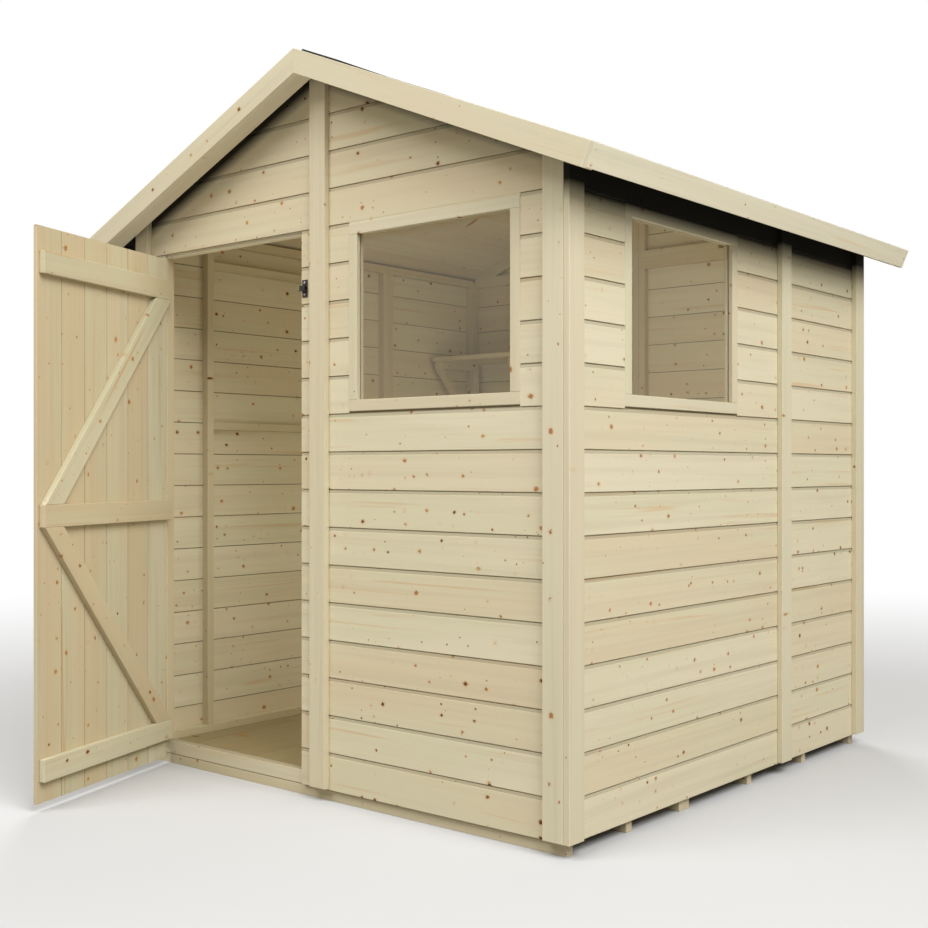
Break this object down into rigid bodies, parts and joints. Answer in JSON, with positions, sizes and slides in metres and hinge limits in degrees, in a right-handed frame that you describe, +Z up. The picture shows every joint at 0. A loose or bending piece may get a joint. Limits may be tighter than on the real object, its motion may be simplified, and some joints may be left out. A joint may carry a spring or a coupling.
{
  "type": "garden shed",
  "caption": "Small timber garden shed with a gable roof, horizontal board walls, a ledged plank door on strap hinges, fixed windows and a corner shelf.",
  "frame": {"origin": "on the ground under the middle of the floor", "axes": "+X across the front gable to the right as seen from outside, +Y from the front to the back, +Z up"},
  "size_m": [2.09, 2.5419, 2.2234],
  "materials": {
    "cladding": "planed pressure treated pine",
    "door_timber": "planed pressure treated pine",
    "planed_trim": "planed pressure treated pine",
    "framing": "sawn pine",
    "floor_timber": "sawn pressure treated pine",
    "shelf_timber": "planed pine",
    "roof_boards": "planed pine",
    "roofing_felt": "mineral felt",
    "pane": "clear",
    "black_ironmongery": "black coated steel"
  },
  "bodies": {
    "shed": {"back_corner_trims": "planed_trim", "back_wall_left": "cladding", "back_wall_right": "cladding", "bargeboards_left": "planed_trim", "bargeboards_right": "planed_trim", "bolt_keep": "black_ironmongery", "cover_strips": "planed_trim", "eaves_fascias": "planed_trim", "floor_bearers": "floor_timber", "floor_panels": "floor_timber", "front_and_back_rails": "framing", "front_and_back_studs": "framing", "front_corner_trims": "planed_trim", "front_wall_hinge_side": "cladding", "front_wall_latch_side": "cladding", "front_wall_over_door": "cladding", "front_wall_window_side": "cladding", "gable_rafters": "framing", "hinge_plates": "black_ironmongery", "left_wall_front": "cladding", "left_wall_rear": "cladding", "ridge_felt": "roofing_felt", "right_wall_front": "cladding", "right_wall_rear": "cladding", "roof_deck_left": "roof_boards", "roof_deck_right": "roof_boards", "roof_felt_left": "roofing_felt", "roof_felt_right": "roofing_felt", "shelf": "shelf_timber", "shelf_bracket_arms": "shelf_timber", "shelf_bracket_braces": "shelf_timber", "shelf_bracket_uprights": "shelf_timber", "side_corner_trims": "planed_trim", "side_rails": "framing", "side_studs": "framing", "verge_battens": "framing", "window_beads": "planed_trim", "window_head_and_sill_trims": "planed_trim", "window_panes": "pane", "window_upright_trims": "planed_trim"},
    "door": {"door_boards": "door_timber", "door_ledges": "door_timber", "door_braces": "door_timber", "hinge_straps": "black_ironmongery", "door_bolt": "black_ironmongery"}
  },
  "joints": [
    {"name": "door_hinge", "type": "hinge", "parent": "shed", "child": "door", "pos_m": [-0.7595, -0.905, 0.852], "axis": [0, 0, -1], "range_deg": [-70.4, 89.6]}
  ]
}
